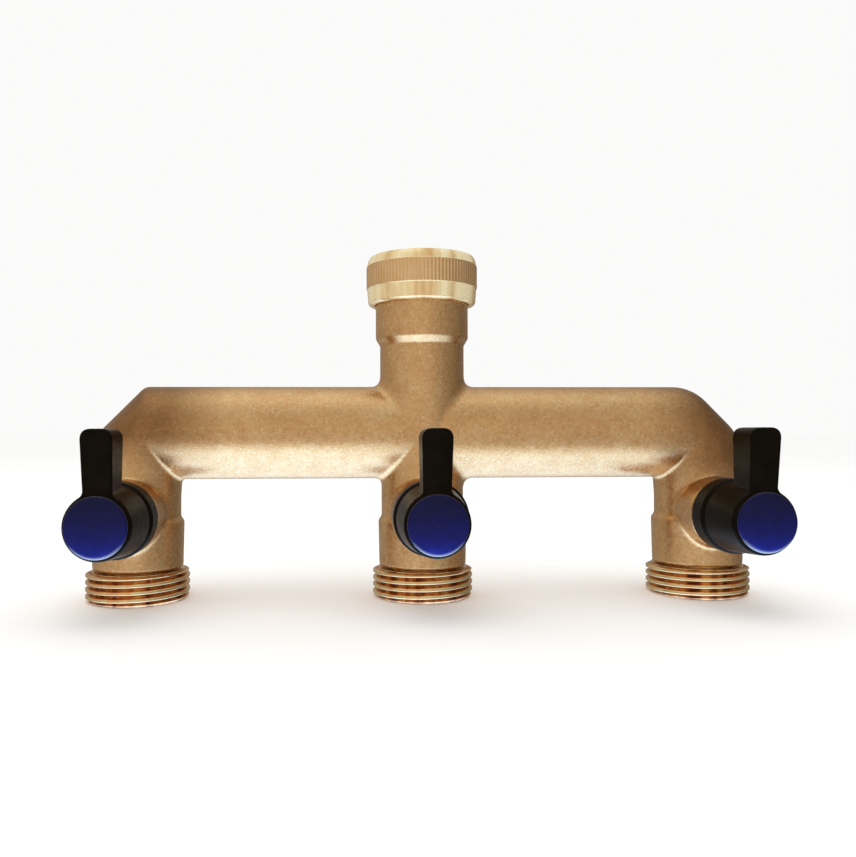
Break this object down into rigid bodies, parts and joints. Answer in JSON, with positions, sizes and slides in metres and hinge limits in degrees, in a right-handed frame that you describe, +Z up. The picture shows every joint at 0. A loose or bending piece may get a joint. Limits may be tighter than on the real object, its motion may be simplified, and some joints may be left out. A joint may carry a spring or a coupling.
{
  "type": "hose splitter",
  "caption": "Brass hose splitter: a cast manifold with a knurled swivel inlet nut on top and threaded outlets below, each shut by a lever-handled ball valve.",
  "frame": {"origin": "middle of the whole splitter on the plane of its outlet rims; the outlets' and the inlet's axes lie 11.775 mm behind it", "axes": "+X along the manifold to the right-hand outlet, +Z up along the inlet neck, valve handles face -Y"},
  "size_m": [0.1764, 0.0532, 0.0901],
  "materials": {
    "cast_brass": "blasted casting, fine grain, dull sparkle, golden brown",
    "turned_brass": "machined, bright, red-gold",
    "nut_brass": "machined and knurled, bright, pale gold",
    "black_plastic": "moulded, gloss black",
    "blue_plastic": "moulded, satin royal blue",
    "chrome_ball": "polished plating",
    "ptfe": "waxy white",
    "black_rubber": "matt black",
    "stainless_steel": "plain bright"
  },
  "bodies": {
    "root": {"manifold_body": "cast_brass", "inlet_gasket": "black_rubber", "retaining_ring": "stainless_steel", "outlet_nipple_left": "turned_brass", "nipple_oring_left": "black_rubber", "upper_seat_left": "ptfe", "lower_seat_left": "ptfe", "thrust_washer_left": "ptfe", "outlet_nipple_centre": "turned_brass", "nipple_oring_centre": "black_rubber", "upper_seat_centre": "ptfe", "lower_seat_centre": "ptfe", "thrust_washer_centre": "ptfe", "outlet_nipple_right": "turned_brass", "nipple_oring_right": "black_rubber", "upper_seat_right": "ptfe", "lower_seat_right": "ptfe", "thrust_washer_right": "ptfe"},
    "valve_left": {"ball_left": "chrome_ball", "stem_left": "turned_brass", "stem_oring_left": "black_rubber", "handle_left": "black_plastic", "handle_screw_left": "stainless_steel", "cap_left": "blue_plastic"},
    "valve_centre": {"ball_centre": "chrome_ball", "stem_centre": "turned_brass", "stem_oring_centre": "black_rubber", "handle_centre": "black_plastic", "handle_screw_centre": "stainless_steel", "cap_centre": "blue_plastic"},
    "valve_right": {"ball_right": "chrome_ball", "stem_right": "turned_brass", "stem_oring_right": "black_rubber", "handle_right": "black_plastic", "handle_screw_right": "stainless_steel", "cap_right": "blue_plastic"},
    "nut": {"swivel_nut": "nut_brass"}
  },
  "joints": [
    {"name": "valve_left_turn", "type": "hinge", "parent": "root", "child": "valve_left", "pos_m": [-0.075, 0.01178, 0.02275], "axis": [0, 1, 0], "range_deg": [0, 90]},
    {"name": "valve_centre_turn", "type": "hinge", "parent": "root", "child": "valve_centre", "pos_m": [0, 0.01178, 0.02275], "axis": [0, 1, 0], "range_deg": [0, 90]},
    {"name": "valve_right_turn", "type": "hinge", "parent": "root", "child": "valve_right", "pos_m": [0.075, 0.01178, 0.02275], "axis": [0, 1, 0], "range_deg": [0, 90]},
    {"name": "nut_swivel", "type": "hinge", "parent": "root", "child": "nut", "pos_m": [0, 0.01178, 0.0773], "axis": [0, 0, 1], "continuous": true}
  ]
}
